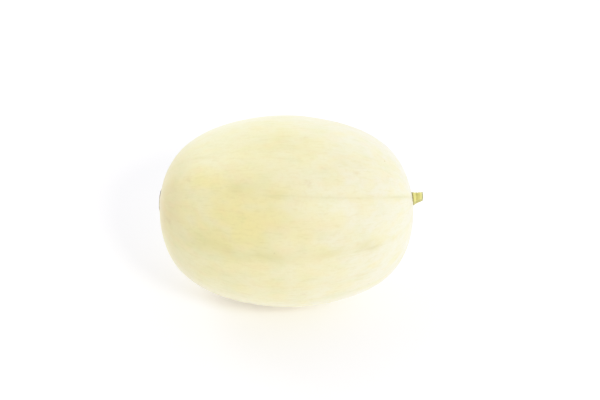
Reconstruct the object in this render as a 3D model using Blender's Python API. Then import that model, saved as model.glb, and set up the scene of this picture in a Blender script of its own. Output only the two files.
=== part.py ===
"""A whole oriental melon lying on its side, with the cut stub of its stem.

Lengths are in metres, +Z is up and +X points out of the stem end. The fruit is one solid that
rests at z = 0 on a small pressed spot. The stem is a second solid, seated on the fruit.
"""

import math

import bmesh
import bpy
from mathutils import Matrix, Vector

# The fruit's form: an ellipsoid with fuller shoulders, whose two ends are set off its long axis.
HALF_LENGTH = 0.0751
HALF_WIDTH = 0.0569
SHOULDERS = 0.247
SHOULDER_POWER = 3
LEAN = 0.0062
END_SHIFT = 0.108
SHIFT_TILT = math.radians(45)
FRUIT_CENTRE = Vector((-0.0029, 0.0, 0.0562))

# The vein tracks that run from end to end as faint furrows, by their angle round the fruit.
TRACKS_AT = tuple(math.radians(turn) for turn in (9, 38, 74, 111, 147, 186, 221, 259, 296, 334))
TRACK_DRIFT = math.radians(3.5)
TRACK_DEPTH = 0.00025
TRACK_WIDTH = 0.0026
TRACK_FADE = 0.30

# The blossom scar: a corky ring with a shallow dish inside it.
SCAR_OFF_END = 0.0012
SCAR_RADIUS = 0.0062
SCAR_RISE = 0.0006
SCAR_RIM = 0.0009
SCAR_DISH = 0.0004

# The seat that the stem grows from, and the gap under the stem.
SEAT_RADIUS = 0.0046
SEAT_EDGE = 0.0014
SEAT_DEPTH = 0.0006
STEM_GAP = 0.0003

# The stem's stub: flared at the seat, ridged, with two ring furrows, and cut off square to +X.
STEM_REACH = 0.0066
STEM_RISE = 0.0017
STEM_BASE_RADIUS = 0.0042
STEM_CUT_RADIUS = 0.0025
STEM_FLARE = 1.3
STEM_RIDGES = 5
STEM_RIDGE_HEIGHT = 0.00022
STEM_RINGS_AT = (0.38, 0.55)
STEM_RING_DEPTH = 0.00016
STEM_RING_WIDTH = 0.06
STEM_CUT_ROUNDING = 0.0003
STEM_CUT_EDGE = 0.1

# How finely the two solids are faceted.
FRUIT_MERIDIANS = 90
FRUIT_PARALLELS = 44
CROWDING_AT_ENDS = 0.72
STEM_SIDES = 50
STEM_STEPS = 16

# Two directions across the fruit: the one its ends are set towards, and the one at right angles.
SHIFT_WAY = Vector((0.0, math.sin(SHIFT_TILT), math.cos(SHIFT_TILT)))
FACING_WAY = Vector((0.0, -math.cos(SHIFT_TILT), math.sin(SHIFT_TILT)))


def clear_scene():
    """Removes what the startup file put in the scene."""
    for thing in list(bpy.data.objects):
        bpy.data.objects.remove(thing, do_unlink=True)


def new_material(name, colour, roughness):
    """A plain skin for one piece, with its colour in linear values."""
    material = bpy.data.materials.new(name)
    material.use_nodes = True
    shader = material.node_tree.nodes["Principled BSDF"]
    shader.inputs["Base Color"].default_value = (*colour, 1.0)
    shader.inputs["Roughness"].default_value = roughness
    shader.inputs["Metallic"].default_value = 0.0
    return material


def add_piece(name, shape, place, material, collection):
    """Makes one object from a bmesh whose points are measured from place."""
    mesh = bpy.data.meshes.new(name)
    shape.to_mesh(mesh)
    shape.free()
    mesh.materials.append(material)
    mesh.shade_smooth()
    mesh.set_sharp_from_angle(angle=math.radians(40))
    piece = bpy.data.objects.new(name, mesh)
    piece.location = place
    collection.objects.link(piece)
    return piece


def girth_at(share):
    """Half the width that an ellipsoid would need to be as full as the fruit at a share of its length."""
    return HALF_WIDTH * (1 + SHOULDERS * abs(share) ** SHOULDER_POWER)


def skin_point(way):
    """Where a direction from the fruit's middle meets its smooth form, measured from the middle."""
    way = (way + END_SHIFT * way.x**2 * SHIFT_WAY).normalized()
    girth = girth_at(way.x)
    point = Vector((HALF_LENGTH * way.x, girth * way.y, girth * way.z))
    return point - LEAN * point.x * SHIFT_WAY


def outward(point):
    """The way out of the skin at a point on it, as for an ellipsoid as full as the fruit there."""
    girth = girth_at(point.x / HALF_LENGTH)
    across = point + LEAN * point.x * SHIFT_WAY
    return Vector((point.x / HALF_LENGTH**2, across.y / girth**2, across.z / girth**2)).normalized()


def from_stem_end(way):
    """How far a direction's point lies from the stem end, along the skin."""
    return girth_at(1) * math.hypot(way.y, way.z)


def from_scar(way):
    """How far a direction's point lies from the middle of the blossom scar, along the skin."""
    middle = Vector((-1.0, 0.0, 0.0)) - SCAR_OFF_END / girth_at(1) * SHIFT_WAY
    return girth_at(1) * (way - middle.normalized()).length


def from_track(way):
    """How far a direction's point lies from the nearest vein track, along the skin."""
    turn = math.atan2(way.dot(SHIFT_WAY), way.dot(FACING_WAY))
    turn += TRACK_DRIFT * max(way.x, 0)
    off_track = min(abs(math.remainder(turn - track, 2 * math.pi)) for track in TRACKS_AT)
    return off_track * HALF_WIDTH * math.hypot(way.y, way.z)


def relief(way):
    """How far the skin stands out of its smooth form in a direction from the fruit's middle."""
    round_middle = 1 - math.exp(-((math.hypot(way.y, way.z) / TRACK_FADE) ** 2))
    height = -TRACK_DEPTH * round_middle * math.exp(-((from_track(way) / TRACK_WIDTH) ** 2))
    if way.x < 0:
        off_rim = (from_scar(way) - SCAR_RADIUS) / SCAR_RIM
        height += SCAR_RISE * math.exp(-(off_rim**2))
        height -= SCAR_DISH / (1 + math.exp(2 * off_rim))
    return height


def ease(share):
    """Goes smoothly from 0 to 1 as share does, and stays there."""
    share = min(max(share, 0.0), 1.0)
    return share * share * (3 - 2 * share)


def level_seat(way, point):
    """Sinks the skin round the stem end to a level seat, with a sloping edge."""
    end = skin_point(Vector((1.0, 0.0, 0.0)))
    up = outward(end)
    if way.x < 0:
        return point
    share = ease((SEAT_RADIUS + SEAT_EDGE - from_stem_end(way)) / SEAT_EDGE)
    above_seat = (point - end).dot(up) + SEAT_DEPTH
    return point - share * above_seat * up


def crowd_to_ends(way):
    """Moves a point of the unit sphere along its meridian, so that rings lie closer at the ends."""
    angle = math.acos(min(max(way.x, -1.0), 1.0))
    ring = Vector((0.0, way.y, way.z))
    if ring.length < 1e-6:
        return way
    angle -= CROWDING_AT_ENDS * math.sin(2 * angle) / 2
    return Vector((math.cos(angle), 0.0, 0.0)) + math.sin(angle) * ring.normalized()


def fruit_shape():
    """A sphere with its poles on X, drawn out to the fruit's form and cut level where it rests."""
    shape = bmesh.new()
    bmesh.ops.create_uvsphere(
        shape, u_segments=FRUIT_MERIDIANS, v_segments=FRUIT_PARALLELS, radius=1.0
    )
    poles_to_x = Matrix.Rotation(math.radians(90), 3, "Y")
    for vertex in shape.verts:
        way = crowd_to_ends(poles_to_x @ vertex.co)
        point = skin_point(way)
        point += relief(way) * outward(point)
        vertex.co = level_seat(way, point)
    bmesh.ops.bisect_plane(
        shape,
        geom=shape.verts[:] + shape.edges[:] + shape.faces[:],
        plane_co=(0.0, 0.0, -FRUIT_CENTRE.z),
        plane_no=(0.0, 0.0, -1.0),
        clear_outer=True,
    )
    rim = [edge for edge in shape.edges if edge.is_boundary]
    bmesh.ops.contextual_create(shape, geom=rim)
    bmesh.ops.recalc_face_normals(shape, faces=shape.faces[:])
    return shape


def stem_radius(turn, along):
    """The stem's radius at an angle round it and a share of its length, flared at the seat."""
    radius = STEM_CUT_RADIUS
    radius += (STEM_BASE_RADIUS - STEM_CUT_RADIUS) * (1 - along) ** STEM_FLARE
    radius += STEM_RIDGE_HEIGHT * math.cos(STEM_RIDGES * turn)
    for ring in STEM_RINGS_AT:
        radius -= STEM_RING_DEPTH * math.exp(-(((along - ring) / STEM_RING_WIDTH) ** 2))
    near_cut = ease((along - 1 + STEM_CUT_EDGE) / STEM_CUT_EDGE)
    return radius - STEM_CUT_ROUNDING * near_cut


def stem_shape():
    """A cylinder cut into rings, each set square to a line that turns from the seat to the cut."""
    shape = bmesh.new()
    bmesh.ops.create_cone(
        shape, cap_ends=True, segments=STEM_SIDES, radius1=1.0, radius2=1.0, depth=1.0
    )
    uprights = [edge for edge in shape.edges if abs(edge.verts[0].co.z - edge.verts[1].co.z) > 0.5]
    bmesh.ops.subdivide_edges(shape, edges=uprights, cuts=STEM_STEPS - 1, use_grid_fill=True)
    seat_way = outward(skin_point(Vector((1.0, 0.0, 0.0))))
    cut_way = Vector((1.0, 0.0, 0.0))
    tip = STEM_REACH * cut_way + STEM_RISE * SHIFT_WAY
    for vertex in shape.verts:
        turn = math.atan2(vertex.co.y, vertex.co.x)
        along = vertex.co.z + 0.5
        way = seat_way.lerp(cut_way, along).normalized()
        side = way.cross(SHIFT_WAY).normalized()
        top = way.cross(side)
        spoke = math.cos(turn) * side + math.sin(turn) * top
        vertex.co = along * tip + stem_radius(turn, along) * spoke
    return shape


def main():
    """Builds the fruit and its stem, each in its own object."""
    clear_scene()
    collection = bpy.data.collections.new("oriental_melon")
    bpy.context.scene.collection.children.link(collection)
    rind = new_material("ivory rind", (0.82, 0.76, 0.44), 0.45)
    bark = new_material("dry stem", (0.62, 0.55, 0.24), 0.7)
    add_piece("fruit", fruit_shape(), FRUIT_CENTRE, rind, collection)
    end = skin_point(Vector((1.0, 0.0, 0.0)))
    seat = FRUIT_CENTRE + end + (STEM_GAP - SEAT_DEPTH) * outward(end)
    add_piece("stem", stem_shape(), seat, bark, collection)


main()
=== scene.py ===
# %% [markdown]
# # An oriental melon in Blender
#
# A whole, pale melon lies on its side with a stub of stalk at one end. Its form is simple, so the
# looks rest on small things: faint vein tracks, a waxy rind with soft patches of colour, a corky
# scar where the flower was and a dry, ridged stalk. This lesson builds each of them in turn.
#
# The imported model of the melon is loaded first. It is the frame: it says how large the melon is
# and where it lies, and the fine pieces below take the place of its two plain solids.

# %% Load the frame
import math

import bmesh
import bpy
import numpy as np
from mathutils import Matrix, Vector, noise


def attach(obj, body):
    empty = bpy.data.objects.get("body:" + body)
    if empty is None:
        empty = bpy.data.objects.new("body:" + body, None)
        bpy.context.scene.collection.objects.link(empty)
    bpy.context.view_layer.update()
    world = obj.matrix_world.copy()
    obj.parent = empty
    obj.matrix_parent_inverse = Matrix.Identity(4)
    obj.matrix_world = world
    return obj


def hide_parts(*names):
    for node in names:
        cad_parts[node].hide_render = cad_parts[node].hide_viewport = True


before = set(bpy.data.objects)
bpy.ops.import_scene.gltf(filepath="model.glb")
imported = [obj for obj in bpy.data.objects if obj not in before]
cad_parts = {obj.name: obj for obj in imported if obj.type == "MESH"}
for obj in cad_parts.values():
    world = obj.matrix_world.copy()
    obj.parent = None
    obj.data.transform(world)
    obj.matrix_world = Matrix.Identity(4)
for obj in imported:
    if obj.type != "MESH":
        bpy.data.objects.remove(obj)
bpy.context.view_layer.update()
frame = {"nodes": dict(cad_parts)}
print("nodes:", ", ".join(frame["nodes"]))

# %% [markdown]
# ## The form of the fruit
#
# An oriental melon is egg-shaped, but fuller than an ellipsoid: its shoulders bulge before they
# turn in to the ends. Its stalk and its blossom scar sit a little off the long axis, both to the
# same side, so the veins that join them bend with them.
#
# It could be modelled with a subdivided cage, or turned as a profile. A formula was chosen: it
# takes any direction from the middle of the fruit and gives the point of the skin there. The
# plain solid was made from the same formula and the same sizes, so the fine skin fits it.

# %% Sizes of the fruit, in metres
HALF_LENGTH = 0.0751
HALF_WIDTH = 0.0569
SHOULDERS = 0.247
SHOULDER_POWER = 3
LEAN = 0.0062
END_SHIFT = 0.108
SHIFT_TILT = math.radians(45)
FRUIT_CENTRE = np.array((-0.0029, 0.0, 0.0562))

SHIFT_WAY = np.array((0.0, math.sin(SHIFT_TILT), math.cos(SHIFT_TILT)))
FACING_WAY = np.array((0.0, -math.cos(SHIFT_TILT), math.sin(SHIFT_TILT)))


def unit(ways):
    """Each row of an array of directions, at length 1."""
    return ways / np.linalg.norm(ways, axis=1, keepdims=True)


def girth_at(share):
    """Half the width that an ellipsoid would need to be as full as the fruit there."""
    return HALF_WIDTH * (1 + SHOULDERS * np.abs(share) ** SHOULDER_POWER)


def skin_points(ways):
    """Where directions from the fruit's middle meet its smooth form, measured from the middle."""
    ways = unit(ways + END_SHIFT * ways[:, :1] ** 2 * SHIFT_WAY)
    points = np.hstack((HALF_LENGTH * ways[:, :1], girth_at(ways[:, :1]) * ways[:, 1:]))
    return points - LEAN * points[:, :1] * SHIFT_WAY


def outward(points):
    """The way out of the skin at each of its points."""
    girth = girth_at(points[:, :1] / HALF_LENGTH)
    across = points + LEAN * points[:, :1] * SHIFT_WAY
    return unit(np.hstack((points[:, :1] / HALF_LENGTH**2, across[:, 1:] / girth**2)))


print("stem end at", skin_points(np.array([[1.0, 0.0, 0.0]]))[0] + FRUIT_CENTRE)

# %% [markdown]
# ## The camera
#
# The melon is seen from its long side and from well above, at about 45 degrees, through a short
# telephoto lens, so its two ends look alike and its outline is hardly bent by perspective. The
# camera is placed from where the middle of the fruit falls in the picture: a little left of the
# centre and a little below it. Moving the camera sideways does this without turning it.

# %% Place the camera
PICTURE = (600, 400)
FRUIT_IN_PICTURE = (286.5, 211.1)
ELEVATION = math.radians(45)
LENS_MM = 70.0
SENSOR_MM = 36.0
DISTANCE = 0.694

pixel = DISTANCE * SENSOR_MM / LENS_MM / PICTURE[0]
looking = np.array((0.0, math.cos(ELEVATION), -math.sin(ELEVATION)))
picture_up = np.array((0.0, math.sin(ELEVATION), math.cos(ELEVATION)))
picture_right = np.array((1.0, 0.0, 0.0))
right_by = (PICTURE[0] / 2 - FRUIT_IN_PICTURE[0]) * pixel
up_by = (FRUIT_IN_PICTURE[1] - PICTURE[1] / 2) * pixel

camera_data = bpy.data.cameras.new("camera")
camera_data.lens = LENS_MM
camera_data.sensor_width = SENSOR_MM
camera = bpy.data.objects.new("camera", camera_data)
place = FRUIT_CENTRE - DISTANCE * looking + right_by * picture_right + up_by * picture_up
camera.location = Vector(place)
camera.rotation_euler = (math.pi / 2 - ELEVATION, 0.0, 0.0)
bpy.context.scene.collection.objects.link(camera)
bpy.context.scene.camera = camera
print("one pixel at the fruit is", round(pixel * 1000, 3), "mm")

# %% [markdown]
# ## Colours and nodes
#
# Colours are written as sRGB hex values, as a colour picker shows them, and one function turns
# them to the linear values that shaders work in. A second small function adds a node, gives it
# its settings and joins its inputs, so that each material below reads as a list of its layers.


# %% Helpers for materials
def colour(hex_value):
    """An sRGB hex colour such as "F0E6B4" as linear red, green, blue and alpha."""
    parts = [int(hex_value[i : i + 2], 16) / 255 for i in (0, 2, 4)]
    linear = [p / 12.92 if p <= 0.04045 else ((p + 0.055) / 1.055) ** 2.4 for p in parts]
    return (*linear, 1.0)


def add(tree, kind, inputs=(), **settings):
    """Adds a node. inputs maps sockets to values or to the sockets that feed them."""
    new = tree.nodes.new("ShaderNode" + kind)
    for name, value in settings.items():
        setattr(new, name, value)
    for key, value in dict(inputs).items():
        if isinstance(value, bpy.types.NodeSocket):
            tree.links.new(value, new.inputs[key])
        else:
            new.inputs[key].default_value = value
    return new


def new_material(name):
    """An empty material, with its node tree and its Principled shader."""
    material = bpy.data.materials.new(name)
    material.use_nodes = True
    return material, material.node_tree, material.node_tree.nodes["Principled BSDF"]


MIX_FACTOR, MIX_A, MIX_B, MIX_RESULT = 0, 6, 7, 2
MM = 0.001

# %% [markdown]
# ## The paper
#
# The melon lies on white paper, as fruit is shot for a catalogue, and the paper burns out to pure
# white. Paper has a fine grain and no gloss. A lamp that lights the paper alone could lift it to
# white, but it would cast a shadow of its own. The paper is given a faint glow instead, which
# also fills the shadow under the fruit as bounced light does.

# %% Lay the paper
PAPER_HALF = 12.0
PAPER_GRAIN = 2 * MM
PAPER_GLOW = 0.2

paper_mesh = bpy.data.meshes.new("paper")
paper_shape = bmesh.new()
bmesh.ops.create_grid(paper_shape, x_segments=1, y_segments=1, size=PAPER_HALF)
paper_shape.to_mesh(paper_mesh)
paper_shape.free()
paper = bpy.data.objects.new("paper", paper_mesh)
bpy.context.scene.collection.objects.link(paper)

white_paper, paper_tree, paper_shader = new_material("matt white paper")
grain = add(paper_tree, "TexNoise", {"Scale": 1 / PAPER_GRAIN, "Detail": 2.0})
tone = add(paper_tree, "ValToRGB", {"Fac": grain.outputs["Fac"]})
tone.color_ramp.elements[0].color = colour("F6F7F9")
tone.color_ramp.elements[1].color = colour("FAFAFB")
paper_tree.links.new(tone.outputs["Color"], paper_shader.inputs["Base Color"])
paper_shader.inputs["Roughness"].default_value = 0.9
paper_shader.inputs["Specular IOR Level"].default_value = 0.1
paper_shader.inputs["Emission Color"].default_value = colour("F6F3FF")
paper_shader.inputs["Emission Strength"].default_value = PAPER_GLOW
paper_mesh.materials.append(white_paper)
print("paper:", 2 * PAPER_HALF, "metres wide")

# %% [markdown]
# ## The light
#
# A tent of white cloth stands round the melon and shines evenly from all sides. It is open where
# the camera looks in, so the side of the melon that faces the camera is shaded a little. The tent
# could be a mesh with a hole, but the world can stand in for it with no walls in the way: a dot
# product says how near a direction is to the middle of the opening, and a smooth step turns that
# to light.

# %% Put up the tent
TENT_LIGHT = 1.28
OPENING_LIGHT = 0.0
OPENING_ELEVATION = math.radians(54)
OPENING_FROM = 0.5
OPENING_FULL = 0.95

world = bpy.data.worlds.new("white tent")
world.use_nodes = True
tent = world.node_tree.nodes["Background"]
tent.inputs["Color"].default_value = colour("F7F9FF")
way_out = add(world.node_tree, "TexCoord").outputs["Generated"]
inputs = {0: way_out, 1: (0.0, -math.cos(OPENING_ELEVATION), math.sin(OPENING_ELEVATION))}
nearness = add(world.node_tree, "VectorMath", inputs, operation="DOT_PRODUCT").outputs["Value"]
inputs = {0: nearness, 1: OPENING_FROM, 2: OPENING_FULL, 3: TENT_LIGHT, 4: OPENING_LIGHT}
brightness = add(world.node_tree, "MapRange", inputs, interpolation_type="SMOOTHSTEP")
world.node_tree.links.new(brightness.outputs["Result"], tent.inputs["Strength"])
bpy.context.scene.world = world

# %% [markdown]
# A small soft lamp in front, on the right, lights the stalk end more. A wider and weaker one
# behind, on the left, lifts the edge of the blossom end off the paper. Each faces the fruit from
# the same distance. Azimuth 0 is in front of the fruit and 90 is at its right.

# %% Hang the lamps
LAMP_DISTANCE = 1.3
LAMPS = (
    # name, azimuth, elevation, size in metres, watts
    ("right softbox", 38, 45, 0.3, 7.2),
    ("rim softbox", -130, 40, 0.6, 3.0),
)

for name, azimuth, elevation, size, watts in LAMPS:
    data = bpy.data.lights.new(name, "AREA")
    data.shape = "DISK"
    data.size = size
    data.energy = watts
    data.color = colour("FFF6E8")[:3]
    round_by, rise = math.radians(azimuth), math.radians(elevation)
    flat_way = Vector((math.sin(round_by), -math.cos(round_by), 0.0))
    lamp_way = math.cos(rise) * flat_way + math.sin(rise) * Vector((0.0, 0.0, 1.0))
    lamp = bpy.data.objects.new(name, data)
    lamp.location = Vector(FRUIT_CENTRE) + LAMP_DISTANCE * lamp_way
    lamp.rotation_euler = lamp_way.to_track_quat("Z", "Y").to_euler()
    bpy.context.scene.collection.objects.link(lamp)
    print(name, "hangs at", tuple(round(c, 2) for c in lamp.location))

# %% [markdown]
# ## The film
#
# A camera bends the brightest tones over a shoulder before they clip. That keeps the lit side of
# the melon ivory and not flat yellow, so the same shoulder is drawn as a tone curve. The curve
# reads scene light up to `FILM_WHITE` and gives display light up to 1. Up to 0.6 it is straight,
# and above that it bends over.

# %% Set the film's shoulder
FILM_WHITE = 1.12
SHOULDER = ((0.6, 0.6), (0.8, 0.79), (0.95, 0.915))

film = bpy.context.scene.view_settings
film.view_transform = "Standard"
film.look = "None"
film.use_curve_mapping = True
film.curve_mapping.white_level = (FILM_WHITE, FILM_WHITE, FILM_WHITE)
tone_curve = film.curve_mapping.curves[3]
for light_in, light_out in SHOULDER:
    tone_curve.points.new(light_in / FILM_WHITE, light_out)
film.curve_mapping.update()
print("film curve has", len(tone_curve.points), "points")

# %% [markdown]
# ## The skin of the fruit
#
# Close to, the rind isn't a smooth egg. Ten veins run under it from the stalk to the blossom
# scar, and each leaves a shallow furrow. Between them the skin swells a little, it has soft lumps
# a few centimetres wide, and it puckers where it meets the stalk. The blossom end has a corky ring
# with a dish inside it.
#
# All of these are heights added to the smooth form, each from its own short function. Every point
# also keeps what the material needs later: how far it is from a vein, from the stalk and from the
# scar, and its place along and round the fruit.

# %% Measure along the skin
TRACKS_AT = (9, 38, 74, 111, 147, 186, 221, 259, 296, 334)
TRACK_DRIFT = math.radians(3.5)
SCAR_OFF_END = 1.2 * MM
END_GIRTH = girth_at(1.0)
STEM_END = np.array((1.0, 0.0, 0.0))
SCAR_MIDDLE = np.array((-1.0, 0.0, 0.0)) - SCAR_OFF_END / END_GIRTH * SHIFT_WAY


def ring_share(ways):
    """0 at the two ends and 1 at the middle: how far out from the long axis a direction is."""
    return np.hypot(ways[:, 1], ways[:, 2])


def turn_of(ways):
    """The angle round the long axis, from the side that faces the camera."""
    return np.arctan2(ways @ SHIFT_WAY, ways @ FACING_WAY)


def track_phase(ways):
    """A number that is whole on each vein track and goes up by one from a track to the next."""
    drift = TRACK_DRIFT * np.clip(ways[:, 0], 0, 1)
    turn = np.degrees(turn_of(ways) + drift) % 360
    places = (TRACKS_AT[-1] - 360, *TRACKS_AT, TRACKS_AT[0] + 360)
    return np.interp(turn, places, np.arange(len(places)))


def from_track(ways):
    """How far each direction's point is from the nearest vein track, along the skin."""
    phase = track_phase(ways)
    spacing = 2 * math.pi * HALF_WIDTH / len(TRACKS_AT)
    return np.abs(phase - np.round(phase)) * spacing * ring_share(ways)


def distance_from(ways, middle):
    """How far each point is from a place near one of the ends, along the skin."""
    return END_GIRTH * np.linalg.norm(ways - unit(middle[None, :]), axis=1)


def noise_at(points, size, seed):
    """Smooth noise between about -1 and 1 with lumps of a size in metres, one value a point."""
    offset = Vector((seed * 7.3, seed * 3.1, seed * 5.7))
    return np.array([noise.noise(Vector(p) / size + offset) for p in points])


# %% [markdown]
# ## Heights of the relief
#
# The furrows are drawn as bells across the track, and they fade at both ends. The solid's furrows
# are deeper, so that they show on its large facets.

# %% Work out the furrows
TRACK_DEPTH = 0.07 * MM
TRACK_WIDTH = 2.2 * MM
TRACK_FADE = 0.30
SWELL = 0.05 * MM
SWELL_FROM = 9 * MM


def bell(distance, width):
    """1 where distance is 0, falling smoothly away from it over about a width."""
    return np.exp(-((distance / width) ** 2))


def track_relief(ways):
    """The furrows over the veins, with the skin swelling a little between them."""
    away_from_ends = 1 - bell(ring_share(ways), TRACK_FADE)
    furrow = -TRACK_DEPTH * bell(from_track(ways), TRACK_WIDTH)
    return away_from_ends * (furrow + SWELL * (1 - bell(from_track(ways), SWELL_FROM)))


# %% [markdown]
# The corky ring is a bell too, on a circle that wanders a little, and narrow cracks cut it. The
# puckers at the stalk are waves round it that die out within a centimetre.

# %% Work out the two ends
SCAR_RADIUS = 6.2 * MM
SCAR_RISE = 0.7 * MM
SCAR_RIM = 0.8 * MM
SCAR_DISH = 0.45 * MM
CRACKS = 17
CRACK_SHARE = 0.5
GRIT_HEIGHT = 0.08 * MM
GRIT_SIZE = 0.9 * MM
PUCKERS = 20
PUCKER_HEIGHT = 0.10 * MM
PUCKERS_AT = 5 * MM
PUCKER_WIDTH = 3 * MM


def scar_relief(ways, points):
    """The corky ring at the blossom end, and the dish inside it."""
    distance = distance_from(ways, SCAR_MIDDLE)
    turn = turn_of(ways - SCAR_MIDDLE)
    wander = 1 + 0.05 * np.cos(2 * turn + 1.0) + 0.03 * np.cos(5 * turn)
    off_rim = (distance - SCAR_RADIUS * wander) / SCAR_RIM
    ring = SCAR_RISE * np.exp(-(off_rim**2))
    uneven_turn = CRACKS * turn + 3 * np.sin(3 * turn)
    uncracked = 1 - CRACK_SHARE * np.maximum(0, np.cos(uneven_turn)) ** 6
    dish = -SCAR_DISH / (1 + np.exp(np.clip(2.5 * off_rim, -30, 30)))
    grit = GRIT_HEIGHT * noise_at(points, GRIT_SIZE, 4) * (off_rim < 2)
    return ring * uncracked + dish + grit


def stalk_relief(ways):
    """Puckers in the skin round the stalk."""
    distance = distance_from(ways, STEM_END)
    waves = np.cos(PUCKERS * turn_of(ways))
    return PUCKER_HEIGHT * waves * bell(distance - PUCKERS_AT, PUCKER_WIDTH)


# %% [markdown]
# ## Building the skin
#
# A sphere from the mesh tools gives evenly joined faces. Its poles are turned onto the long axis,
# its rings are drawn closer together at the two ends, where the detail is, and each point is then
# moved to the skin. Where the melon rests, its own weight has pressed a small flat spot.

# %% Helpers for the meshes
CUTS = 3


def sphere_mesh(name, meridians, parallels, cuts):
    """A mesh of a unit sphere with its poles on X, and its points as rows of an array."""
    shape = bmesh.new()
    bmesh.ops.create_uvsphere(shape, u_segments=meridians, v_segments=parallels, radius=1.0)
    bmesh.ops.subdivide_edges(shape, edges=shape.edges[:], cuts=cuts, use_grid_fill=True)
    bmesh.ops.rotate(shape, verts=shape.verts[:], matrix=Matrix.Rotation(math.pi / 2, 3, "Y"))
    mesh = bpy.data.meshes.new(name)
    shape.to_mesh(mesh)
    shape.free()
    ways = np.empty(len(mesh.vertices) * 3)
    mesh.vertices.foreach_get("co", ways)
    return mesh, unit(ways.reshape(-1, 3))


def keep(mesh, name, values):
    """Stores one number, or three, for each point of a mesh, for its material to read."""
    kind = "FLOAT" if values.ndim == 1 else "FLOAT_VECTOR"
    field = "value" if values.ndim == 1 else "vector"
    attribute = mesh.attributes.new(name, kind, "POINT")
    attribute.data.foreach_set(field, values.astype(np.float32).ravel())


# %% Make the skin mesh
COARSE_MERIDIANS = 110
COARSE_PARALLELS = 55
CROWDING_AT_ENDS = 0.75
LUMP_HEIGHT = 0.30 * MM
LUMP_SIZE = 34 * MM
PRESS_SOFTNESS = 0.05 * MM


def crowd_to_ends(ways):
    """Moves points of the unit sphere along their meridians, closer to the nearer pole."""
    angle = np.arccos(np.clip(ways[:, 0], -1, 1))
    angle = angle - CROWDING_AT_ENDS * np.sin(2 * angle) / 2
    ring = ways[:, 1:] / np.maximum(ring_share(ways)[:, None], 1e-9)
    return np.hstack((np.cos(angle)[:, None], np.sin(angle)[:, None] * ring))


def press_flat(points):
    """Presses what would lie below the paper up to it, with a soft edge."""
    height = points[:, 2] / PRESS_SOFTNESS
    soft = PRESS_SOFTNESS * np.logaddexp(0, np.clip(height, -50, 50))
    points[:, 2] = np.where(height < 50, soft, points[:, 2])
    return points


skin_mesh, ways = sphere_mesh("melon_skin", COARSE_MERIDIANS, COARSE_PARALLELS, CUTS)
ways = crowd_to_ends(ways)
smooth = skin_points(ways)
height = track_relief(ways) + scar_relief(ways, smooth) + stalk_relief(ways)
height += LUMP_HEIGHT * noise_at(smooth, LUMP_SIZE, 1)
height += 0.2 * LUMP_HEIGHT * noise_at(smooth, LUMP_SIZE / 3, 2)
skin = press_flat(smooth + height[:, None] * outward(smooth) + FRUIT_CENTRE)
skin_mesh.vertices.foreach_set("co", skin.ravel())
skin_mesh.shade_smooth()
print("skin:", len(skin_mesh.polygons), "faces, lowest point", skin[:, 2].min())

# %% [markdown]
# The material reads its place on the skin from numbers that are kept with each point. The track
# wave is a cosine and a sine that turn once from a vein to the next, because a material blends
# what it reads between points, and a plain angle can't be blended where it jumps back to 0.

# %% Keep each point's place
round_way = ways[:, 1:] / np.maximum(ring_share(ways)[:, None], 1e-6)
keep(skin_mesh, "along", ways[:, 0])
keep(skin_mesh, "meridian", np.hstack((np.arcsin(np.clip(ways[:, :1], -1, 1)), round_way)))
phase_angle = 2 * math.pi * track_phase(ways)
wave = (np.cos(phase_angle), np.sin(phase_angle), ring_share(ways))
keep(skin_mesh, "track_wave", np.column_stack(wave))
keep(skin_mesh, "from_stalk", distance_from(ways, STEM_END))
keep(skin_mesh, "from_scar", distance_from(ways, SCAR_MIDDLE))

# %% [markdown]
# Sun and soil have coloured the rind unevenly. It is yellower where the sun fell on it, olive in
# strips beside the veins, and tanned at the blossom end. The veins show in some stretches and
# fade in others, and there are a few small rubbed spots. All of these are soft ovals with
# wandering edges, each placed by how far along the fruit it is, from -1 to 1, and by its angle
# round it. The far side and the underside have ovals of their own.

# %% Draw soft ovals
WANDER_BY = 3 * MM
WANDER_SIZE = 9 * MM

edge_wander = [WANDER_BY * noise_at(smooth, WANDER_SIZE, seed) for seed in (11, 12)]


def oval(along, turn_degrees, half_length_mm, half_width_mm):
    """A soft patch of skin: 1 in its middle and fading round it."""
    lengthwise = HALF_LENGTH * (ways[:, 0] - along) + edge_wander[0]
    turned = turn_of(ways) - math.radians(turn_degrees)
    turned = (turned + math.pi) % (2 * math.pi) - math.pi
    sideways = turned * HALF_WIDTH * ring_share(ways) + edge_wander[1]
    return bell(np.hypot(lengthwise / (half_length_mm * MM), sideways / (half_width_mm * MM)), 1.0)


def strongest(rows):
    """The strongest of several ovals at each point."""
    return np.maximum.reduce([strength * oval(*place) for strength, *place in rows])


# %% Lay out the large patches of colour
# Each row is a strength, a place along and round the fruit, and half a length and width in mm.
SUNNED = (
    (0.9, -0.34, -8, 34, 24),
    (0.8, -0.60, 17, 13, 8),
    (0.5, 0.10, -12, 26, 12),
    (0.9, 0.05, 100, 34, 20),
    (0.9, -0.45, 165, 24, 22),
    (0.8, 0.35, -130, 26, 20),
)
OLIVE = (
    (0.8, -0.52, -24, 18, 7),
    (0.8, -0.15, -27, 22, 5),
    (0.7, 0.32, -25, 12, 3.5),
    (1.0, 0.60, -26, 6, 3.5),
    (0.7, -0.33, 14, 9, 5),
    (0.6, 0.02, 44, 22, 9),
    (0.5, 0.48, 32, 12, 4),
    (0.6, -0.62, 36, 6, 1.5),
    (0.5, -0.45, -48, 24, 11),
    (0.35, 0.02, -46, 28, 10),
    (0.7, -0.20, 112, 26, 5),
    (0.6, 0.40, 146, 20, 6),
    (0.7, -0.35, -174, 24, 5),
    (0.6, 0.15, -101, 28, 7),
)
TANNED = (
    (1.0, -0.93, -10, 9, 12),
    (0.6, -0.90, 12, 7, 6),
)
FIELD_SPOT = ((1.0, -0.10, -135, 50, 30),)

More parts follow.
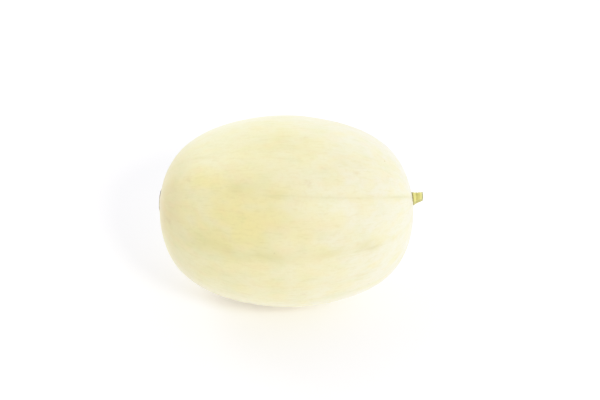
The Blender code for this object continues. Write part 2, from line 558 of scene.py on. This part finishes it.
sunned = strongest(SUNNED)
keep(skin_mesh, "large_patches", np.column_stack((sunned, strongest(OLIVE), strongest(TANNED))))
keep(skin_mesh, "field_spot", strongest(FIELD_SPOT))

# %% Lay out where the veins show, and the rubbed spots
FAINTEST_VEIN = 0.12
VEIN_SHOWS = (
    (0.5, 0.10, 190, 70, 110),
    (0.45, 0.40, 9, 34, 6),
    (0.9, 0.88, 7, 12, 6),
    (0.7, -0.05, 9, 7, 5),
    (0.7, 0.58, -26, 7, 5),
)
RUBBED_SPOTS = (
    # place along and round the fruit, size in mm
    (-0.75, 22, 1.5),
    (0.14, 48, 1.2),
    (0.17, 17, 1.5),
    (0.53, 24, 1.0),
    (0.28, 26, 1.4),
    (0.14, -57, 1.4),
    (-0.65, -61, 1.6),
    (-0.89, -21, 1.8),
    (-0.10, 140, 1.6),
    (0.45, -150, 1.4),
    (-0.50, -120, 1.5),
)
SPOT_STRETCH = 1.3

keep(skin_mesh, "vein_shows", np.maximum(FAINTEST_VEIN, strongest(VEIN_SHOWS)))
spots = [(1.0, place, turn, SPOT_STRETCH * size, size) for place, turn, size in RUBBED_SPOTS]
keep(skin_mesh, "rubbed", strongest(spots))

melon_skin = bpy.data.objects.new("melon_skin", skin_mesh)
bpy.context.scene.collection.objects.link(melon_skin)
print("share of the skin that is sunned:", round(float(sunned.mean()), 2))

# %% [markdown]
# ## The rind
#
# Ripe rind of this melon is waxy and semi-matt: IOR about 1.45, roughness about 0.45, and a
# little light passes under the surface before it comes back. Its colour is built in layers over
# an ivory ground. The large ones come first: yellow where the sun fell, paler towards the stalk
# and low down, and a yellow field spot underneath, where the melon lay on the soil. Then come
# soft clouds, fine streaks and dashes, the greener vein tracks with a thin line over each vein,
# rubbed spots and specks.
#
# Every layer is laid by one function. It reads a pattern, a place or a distance, and mixes its
# colour in more or less strongly as that reading goes from one value to another. A layer can
# also be kept to one patch of the skin.

# %% Read what the skin keeps
waxy_rind, tree, shader = new_material("waxy melon rind")

place_in_space = add(tree, "TexCoord").outputs["Object"]
meridian = add(tree, "Attribute", attribute_name="meridian").outputs["Vector"]
track_wave = add(tree, "Attribute", attribute_name="track_wave").outputs["Vector"]
large_patches = add(tree, "Attribute", attribute_name="large_patches").outputs["Vector"]
vein_shows = add(tree, "Attribute", attribute_name="vein_shows").outputs["Fac"]
rubbed = add(tree, "Attribute", attribute_name="rubbed").outputs["Fac"]
field_spot = add(tree, "Attribute", attribute_name="field_spot").outputs["Fac"]
stalk_gap = add(tree, "Attribute", attribute_name="from_stalk").outputs["Fac"]
scar_gap = add(tree, "Attribute", attribute_name="from_scar").outputs["Fac"]
along = add(tree, "Attribute", attribute_name="along").outputs["Fac"]
upward = add(tree, "SeparateXYZ", {0: meridian}).outputs["Z"]
sunned, olive, tanned = add(tree, "SeparateXYZ", {0: large_patches}).outputs


def lay_over(ground, name, hex_value, strengths, reading, span, patch=1.0):
    """Mixes in a colour, from one strength to another as a reading goes across a span.

    It adds to the material that is being made. A patch, if one is given, keeps the colour to it.
    """
    inputs = {0: reading, 1: span[0], 2: span[1], 3: strengths[0], 4: strengths[1]}
    strength = add(tree, "MapRange", inputs, interpolation_type="SMOOTHSTEP").outputs["Result"]
    on_patch = add(tree, "Math", {0: strength, 1: patch}, operation="MULTIPLY").outputs[0]
    inputs = {MIX_FACTOR: on_patch, MIX_A: ground, MIX_B: colour(hex_value)}
    return add(tree, "Mix", inputs, data_type="RGBA", label=name).outputs[MIX_RESULT]


# %% [markdown]
# Streaks must follow the veins from end to end. Noise in plain space would cut across them, so it
# is read on the stored meridians: the angle along the fruit and the way round it, each divided by
# how large a streak is. Clouds are short, wide streaks. Mottle and specks have no direction.

# %% Make the rind's patterns
SPECK_SPACING = 9.0 * MM


def streaks(width_mm, length_mm, detail):
    """Noise drawn out along the meridians, as wide and long as given at the fruit's girth."""
    around = HALF_WIDTH / (width_mm * MM)
    lengthwise = HALF_LENGTH / (length_mm * MM)
    inputs = {0: meridian, 1: (lengthwise, around, around)}
    stretched = add(tree, "VectorMath", inputs, operation="MULTIPLY").outputs[0]
    inputs = {"Vector": stretched, "Scale": 1.0, "Detail": detail}
    return add(tree, "TexNoise", inputs).outputs["Fac"]


def mottling(size_mm, detail):
    """Noise with soft blotches of a size in millimetres, in the material that is being made."""
    inputs = {"Vector": place_in_space, "Scale": 1 / (size_mm * MM), "Detail": detail}
    return add(tree, "TexNoise", inputs).outputs["Fac"]


fine_streaks = streaks(2.0, 8.0, 2.0)
hair_streaks = streaks(1.0, 4.0, 1.0)
dashes = streaks(1.6, 6.5, 1.0)
yellow_clouds = streaks(10.0, 14.0, 1.0)
orange_clouds = streaks(7.0, 11.0, 1.5)
green_clouds = streaks(8.0, 13.0, 1.5)
mottle = mottling(1.8, 3.0)

inputs = {"Vector": place_in_space, "Scale": 1 / SPECK_SPACING, "Randomness": 1.0}
speck_cells = add(tree, "TexVoronoi", inputs)
speck_chance = add(tree, "SeparateColor", {0: speck_cells.outputs["Color"]}).outputs["Red"]
inputs = {0: speck_chance, 1: 0.72, 2: 1.0, 3: 0.0, 4: 0.09}
speck_size = add(tree, "MapRange", inputs, interpolation_type="SMOOTHSTEP").outputs["Result"]
inputs = {0: speck_cells.outputs["Distance"], 1: speck_size}
off_speck = add(tree, "Math", inputs, operation="SUBTRACT").outputs[0]

# %% [markdown]
# The angle of the track wave gives the distance from the nearest vein, and it is exact for every
# spot between the stored points. The band over a vein is widest near the blossom end, and fine
# streaks fray its edge.

# %% Find the vein tracks
BAND_AT_BLOSSOM = 6.0 * MM
BAND_AT_STALK = 3.2 * MM
FRAY = 2.0 * MM

wave_cos, wave_sin, wave_ring = add(tree, "SeparateXYZ", {0: track_wave}).outputs
wave_angle = add(tree, "Math", {0: wave_sin, 1: wave_cos}, operation="ARCTAN2").outputs[0]
half_turn = add(tree, "Math", {0: wave_angle}, operation="ABSOLUTE").outputs[0]
ringed = add(tree, "Math", {0: half_turn, 1: wave_ring}, operation="MULTIPLY").outputs[0]
inputs = {0: ringed, 1: HALF_WIDTH / len(TRACKS_AT)}
track_gap = add(tree, "Math", inputs, operation="MULTIPLY").outputs[0]
inputs = {0: fine_streaks, 1: FRAY, 2: track_gap}
frayed_gap = add(tree, "Math", inputs, operation="MULTIPLY_ADD").outputs[0]
inputs = {0: along, 1: -0.7, 2: 0.9, 3: BAND_AT_BLOSSOM, 4: BAND_AT_STALK}
band_width = add(tree, "MapRange", inputs, interpolation_type="SMOOTHSTEP").outputs["Result"]
off_band = add(tree, "Math", {0: frayed_gap, 1: band_width}, operation="DIVIDE").outputs[0]

# %% Lay the rind's colours
LAYERS = (
    ("sunned", "F2E592", (0.31, 0.62), yellow_clouds, (0.25, 0.55), sunned),
    ("ivory stalk end", "EAE8D8", (0.0, 0.64), along, (-0.25, 0.75)),
    ("pale underside", "F3EED6", (0.0, 0.38), upward, (-0.15, -0.75)),
    ("field spot", "DEC47C", (0.6, 0.90), green_clouds, (0.25, 0.55), field_spot),
    ("yellow clouds", "EFE4A0", (0.0, 0.24), yellow_clouds, (0.40, 0.70)),
    ("tanned", "D4B880", (0.275, 0.55), orange_clouds, (0.25, 0.55), tanned),
    ("drab blossom end", "D8CC90", (0.0, 0.48), along, (-0.60, -0.96)),
    ("olive", "D2CC86", (0.25, 0.50), green_clouds, (0.25, 0.55), olive),
    ("orange clouds", "F0D2A0", (0.0, 0.15), orange_clouds, (0.45, 0.75)),
    ("green clouds", "D4DCA0", (0.0, 0.17), green_clouds, (0.45, 0.75)),
    ("fine streaks", "DCD492", (0.0, 0.07), fine_streaks, (0.45, 0.75)),
    ("hair streaks", "D8CE88", (0.0, 0.10), hair_streaks, (0.50, 0.80)),
    ("dashes", "C4BC70", (0.0, 0.11), dashes, (0.52, 0.75)),
    ("mottle", "DCCC98", (0.0, 0.14), mottle, (0.45, 0.75)),
    ("track band", "C2BF78", (0.26, 0.0), off_band, (0.2, 1.2), vein_shows),
    ("vein line", "A8A45C", (0.14, 0.0), track_gap, (0.2 * MM, 0.9 * MM), vein_shows),
    ("rubbed spots", "B89A58", (0.10, 0.20), mottle, (0.35, 0.60), rubbed),
    ("specks", "8D7C48", (0.26, 0.0), off_speck, (-0.03, 0.03)),
)

skin_colour = colour("ECE8C2")
for layer in LAYERS:
    skin_colour = lay_over(skin_colour, *layer)
print("rind:", len(LAYERS), "layers of colour")

# %% [markdown]
# Cork is dead, dry skin: rough, brown and cracked. At the blossom scar it has a dark rim, a tan
# dish with fine rings inside it, and in the middle the dark mark of the flower's style. A thinner
# collar of it lines the foot of the stalk. The cork has its own layers, which are mixed over the
# rind where the stored distances say so, with an edge that the cork's grain makes ragged.

# %% Add the cork at both ends
CORK_GRAIN_MM = 0.7
RAGGED_BY = 1.0 * MM
RING_SPACING = 1.5 * MM

cork_grain = mottling(CORK_GRAIN_MM, 3.0)
inputs = {0: cork_grain, 1: RAGGED_BY, 2: -RAGGED_BY / 2}
ragged = add(tree, "Math", inputs, operation="MULTIPLY_ADD").outputs[0]
scar_edge = add(tree, "Math", {0: scar_gap, 1: ragged}, operation="ADD").outputs[0]
stalk_edge = add(tree, "Math", {0: stalk_gap, 1: ragged}, operation="ADD").outputs[0]
inputs = {0: scar_edge, 1: 2 * math.pi / RING_SPACING}
ring_turn = add(tree, "Math", inputs, operation="MULTIPLY").outputs[0]
ring_wave = add(tree, "Math", {0: ring_turn}, operation="SINE").outputs[0]

# Each mask falls from its first value to 0 between two distances.
MASKS = (
    (scar_edge, 1.0, SCAR_RADIUS + 0.8 * MM, SCAR_RADIUS + 1.3 * MM),
    (stalk_edge, 0.7, 4.2 * MM, 5.2 * MM),
    (scar_edge, 1.0, SCAR_RADIUS - 1.8 * MM, SCAR_RADIUS - 0.2 * MM),
    (scar_edge, 1.0, SCAR_RADIUS + 1.5 * MM, SCAR_RADIUS + 5.0 * MM),
)
sockets = []
for distance, full, start, end in MASKS:
    inputs = {0: distance, 1: start, 2: end, 3: full, 4: 0.0}
    sockets.append(add(tree, "MapRange", inputs, interpolation_type="SMOOTHSTEP").outputs[0])
on_scar, on_collar, in_dish, on_lip = sockets
on_cork = add(tree, "Math", {0: on_scar, 1: on_collar}, operation="MAXIMUM").outputs[0]

CORK_LAYERS = (
    ("cork grain", "7A6A4C", (0.0, 1.0), cork_grain, (0.35, 0.68)),
    ("tan dish", "B29A6E", (0.375, 0.75), cork_grain, (0.30, 0.65), in_dish),
    ("rings", "6A563A", (0.0, 0.45), ring_wave, (-0.2, 1.0), in_dish),
    ("mark of the style", "42362A", (0.8, 0.0), scar_edge, (0.7 * MM, 1.4 * MM)),
)
cork_colour = colour("3F372B")
for layer in CORK_LAYERS:
    cork_colour = lay_over(cork_colour, *layer)

skin_colour = lay_over(skin_colour, "pale lip", "EFE6CC", (0.2, 0.5), mottle, (0.35, 0.60), on_lip)
inputs = {MIX_FACTOR: on_cork, MIX_A: skin_colour, MIX_B: cork_colour}
skin_colour = add(tree, "Mix", inputs, data_type="RGBA").outputs[MIX_RESULT]
tree.links.new(skin_colour, shader.inputs["Base Color"])
print("cork:", len(CORK_LAYERS), "layers of colour")

# %% [markdown]
# The gloss of wax isn't even: it varies with the mottle, and cork is much duller. Pores and the
# grit of the cork, too small to model, are a bump.

# %% Finish the rind's surface
PORE_MM = 0.9

inputs = {0: mottle, 1: 0.22, 2: 0.36}
wax_roughness = add(tree, "Math", inputs, operation="MULTIPLY_ADD").outputs[0]
inputs = {0: on_cork, 1: 0.35, 2: wax_roughness}
roughness = add(tree, "Math", inputs, operation="MULTIPLY_ADD").outputs[0]
tree.links.new(roughness, shader.inputs["Roughness"])

pores = mottling(PORE_MM, 2.0)
inputs = {0: cork_grain, 1: on_cork, 2: pores}
fine_height = add(tree, "Math", inputs, operation="MULTIPLY_ADD").outputs[0]
bump = add(tree, "Bump", {"Strength": 0.25, "Distance": 0.15 * MM, "Height": fine_height})
tree.links.new(bump.outputs["Normal"], shader.inputs["Normal"])
shader.inputs["IOR"].default_value = 1.45
shader.inputs["Subsurface Weight"].default_value = 0.15
shader.inputs["Subsurface Radius"].default_value = (1.0, 0.7, 0.3)
shader.inputs["Subsurface Scale"].default_value = 3 * MM
shader.inputs["Sheen Weight"].default_value = 0.5
shader.inputs["Sheen Roughness"].default_value = 0.3

skin_mesh.materials.append(waxy_rind)
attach(melon_skin, "root")
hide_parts("fruit")

# %% [markdown]
# ## The stalk
#
# The stub of stalk was cut square and has dried. It has five blunt ridges, fine fibres along it,
# two ring furrows where it would have let go of the fruit, and a foot that spreads over the skin.
# The cut end is a little hollow, with a darker rim.
#
# It could be a bevelled curve, but a curve has one round section all along. It is a sphere again:
# its first rings make the foot, the middle ones the side and the last ones the cut face.

# %% Sizes of the stalk, in metres
SEAT_DEPTH = 0.6 * MM
STEM_GAP = 0.3 * MM
STEM_REACH = 6.6 * MM
STEM_RISE = 1.7 * MM
STEM_BASE_RADIUS = 4.2 * MM
STEM_CUT_RADIUS = 2.5 * MM
STEM_FLARE = 1.3
STEM_RIDGES = 5
STEM_RIDGE_HEIGHT = 0.22 * MM
STEM_RINGS_AT = (0.38, 0.55)
STEM_RING_DEPTH = 0.16 * MM
STEM_RING_WIDTH = 0.06
CUT_DISH = 0.5 * MM
CUT_FROM = 0.80
CUT_RIM = 0.125
FOOT_TO = 0.12
STEM_MERIDIANS = 45
STEM_PARALLELS = 30
FIBRE_HEIGHT = 0.09 * MM
FIBRE_WIDTH = 0.28 * MM
FIBRE_WAVE = 2.64 * MM
FIBRE_STREAK = 5.5 * MM


def stem_grid(ways):
    """The angle, the shares of the stalk's length and radius, and the rank from foot to cut."""
    rank = np.arccos(np.clip(-ways[:, 0], -1, 1)) / math.pi
    turn = np.arctan2(ways[:, 2], ways[:, 1])
    along = np.clip((rank - FOOT_TO) / (CUT_FROM - FOOT_TO), 0, 1)
    out = np.clip(rank / FOOT_TO, 0, 1) * np.clip((1 - rank) / (1 - CUT_FROM), 0, 1)
    return turn, along, out, rank


def stem_radius(turn, along):
    """The stalk's radius, flared at its foot, ridged and ringed."""
    radius = STEM_CUT_RADIUS + (STEM_BASE_RADIUS - STEM_CUT_RADIUS) * (1 - along) ** STEM_FLARE
    radius = radius + STEM_RIDGE_HEIGHT * np.cos(STEM_RIDGES * turn)
    for ring in STEM_RINGS_AT:
        uneven = ring + 0.02 * np.sin(3 * turn + 9 * ring)
        radius = radius - STEM_RING_DEPTH * bell(along - uneven, STEM_RING_WIDTH)
    return radius


# %% Make the stalk mesh
stem_mesh, stem_ways = sphere_mesh("melon_stalk", STEM_MERIDIANS, STEM_PARALLELS, CUTS)
turn, along_stem, out, rank = stem_grid(stem_ways)
end_point = skin_points(np.array([[1.0, 0.0, 0.0]]))
seat_way = outward(end_point)[0]
seat = end_point[0] + FRUIT_CENTRE - SEAT_DEPTH * seat_way
cut_way = np.array((1.0, 0.0, 0.0))
tip = STEM_GAP * seat_way + STEM_REACH * cut_way + STEM_RISE * SHIFT_WAY
way = unit((1 - along_stem[:, None]) * seat_way + along_stem[:, None] * cut_way)
side = unit(np.cross(way, SHIFT_WAY))
top = np.cross(way, side)
spoke = np.cos(turn)[:, None] * side + np.sin(turn)[:, None] * top
radius = stem_radius(turn, along_stem)
fibres_round = STEM_CUT_RADIUS / FIBRE_WIDTH
fibre_places = zip(
    fibres_round * np.cos(turn), fibres_round * np.sin(turn), STEM_REACH / FIBRE_WAVE * along_stem
)
fibres = np.array([noise.noise(Vector(fibre_place)) for fibre_place in fibre_places])
radius = (radius + FIBRE_HEIGHT * fibres) * out
stem_points = seat + along_stem[:, None] * tip + radius[:, None] * spoke
in_cut = rank > CUT_FROM
hollow = CUT_DISH * (1 - out**2) + FIBRE_HEIGHT * fibres
stem_points[in_cut] -= hollow[in_cut, None] * cut_way
stem_mesh.vertices.foreach_set("co", stem_points.ravel())
stem_mesh.shade_smooth()
stem_mesh.set_sharp_from_angle(angle=math.radians(50))
stalk_place = (along_stem, out * np.cos(turn), out * np.sin(turn))
keep(stem_mesh, "stalk_place", np.column_stack(stalk_place))
keep(stem_mesh, "in_cut", in_cut.astype(float) * np.clip((1 - out) / CUT_RIM, 0, 1))
keep(stem_mesh, "underside", -(spoke @ SHIFT_WAY))

melon_stalk = bpy.data.objects.new("melon_stalk", stem_mesh)
bpy.context.scene.collection.objects.link(melon_stalk)
print("stalk:", len(stem_mesh.polygons), "faces")

# %% [markdown]
# A dry stalk is matt and fibrous, with an IOR near 1.5 and a roughness near 0.75. It is a light
# yellow-green with paler fibres along it. It is darker at its foot and round its ring furrows,
# which is painted shade, and darker at the rim of the cut. Its underside is painted greyer, which
# is painted shade too. The cut face is a grey-green with dark flecks. The bands up the stalk are
# a colour ramp that the fibres shake, with layers over it as on the rind.

# %% Make the stalk material
dry_stalk, tree, shader = new_material("dry melon stalk")
place_in_space = add(tree, "TexCoord").outputs["Object"]
stalk_place = add(tree, "Attribute", attribute_name="stalk_place").outputs["Vector"]
up_stalk = add(tree, "SeparateXYZ", {0: stalk_place}).outputs["X"]
cut_face = add(tree, "Attribute", attribute_name="in_cut").outputs["Fac"]
underside = add(tree, "Attribute", attribute_name="underside").outputs["Fac"]

inputs = {0: stalk_place, 1: (STEM_REACH / FIBRE_STREAK, fibres_round, fibres_round)}
drawn_out = add(tree, "VectorMath", inputs, operation="MULTIPLY").outputs[0]
inputs = {"Vector": drawn_out, "Scale": 1.0, "Detail": 3.0}
fibre = add(tree, "TexNoise", inputs).outputs["Fac"]
fleck = mottling(0.6, 3.0)

# %% Colour the stalk
BAND_SHAKE = 0.16

shake = add(tree, "Math", {0: fibre, 1: BAND_SHAKE, 2: -BAND_SHAKE / 2}, operation="MULTIPLY_ADD")
band_place = add(tree, "Math", {0: up_stalk, 1: shake.outputs[0]}, operation="ADD").outputs[0]
bands = add(tree, "ValToRGB", {"Fac": band_place})
# The dark foot, where the stalk meets the skin, and the darker band round the ring furrows are
# painted shade.
BANDS = (
    # share of the stalk's length, colour
    (0.00, "7A7440"),
    (0.12, "938C50"),
    (0.24, "E2DF8E"),
    (0.36, "E0DC88"),
    (0.46, "BDB766"),
    (0.58, "CFC976"),
    (0.72, "D4CE7A"),
    (0.86, "EAE89C"),
    (0.98, "95966A"),
)
ramp = bands.color_ramp
while len(ramp.elements) < len(BANDS):
    ramp.elements.new(0.5)
for element, (place_up, hex_value) in zip(ramp.elements, BANDS):
    element.position = place_up
    element.color = colour(hex_value)

STALK_LAYERS = (
    # The side of the stalk that faces down is painted greyer, as painted shade.
    ("painted shade underneath", "B2B07C", (0.0, 0.60), underside, (0.25, 0.80)),
    ("pale fibres", "F0EEB8", (0.0, 0.35), fibre, (0.45, 0.30)),
    ("flecks", "A29E5C", (0.0, 0.30), fleck, (0.58, 0.72)),
    ("cut face", "B9B98C", (0.0, 0.9), cut_face, (0.0, 1.0)),
    ("flecks in the cut", "77744A", (0.0, 0.6), fleck, (0.45, 0.60), cut_face),
)
stalk_colour = bands.outputs["Color"]
for layer in STALK_LAYERS:
    stalk_colour = lay_over(stalk_colour, *layer)
tree.links.new(stalk_colour, shader.inputs["Base Color"])
print("stalk:", len(BANDS), "bands and", len(STALK_LAYERS), "layers of colour")

# %% Finish the stalk's surface
roughness = add(tree, "Math", {0: fibre, 1: 0.2, 2: 0.62}, operation="MULTIPLY_ADD").outputs[0]
tree.links.new(roughness, shader.inputs["Roughness"])
bump = add(tree, "Bump", {"Strength": 0.5, "Distance": 0.2 * MM, "Height": fibre})
tree.links.new(bump.outputs["Normal"], shader.inputs["Normal"])
shader.inputs["IOR"].default_value = 1.5

stem_mesh.materials.append(dry_stalk)
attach(melon_stalk, "root")
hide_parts("stem")
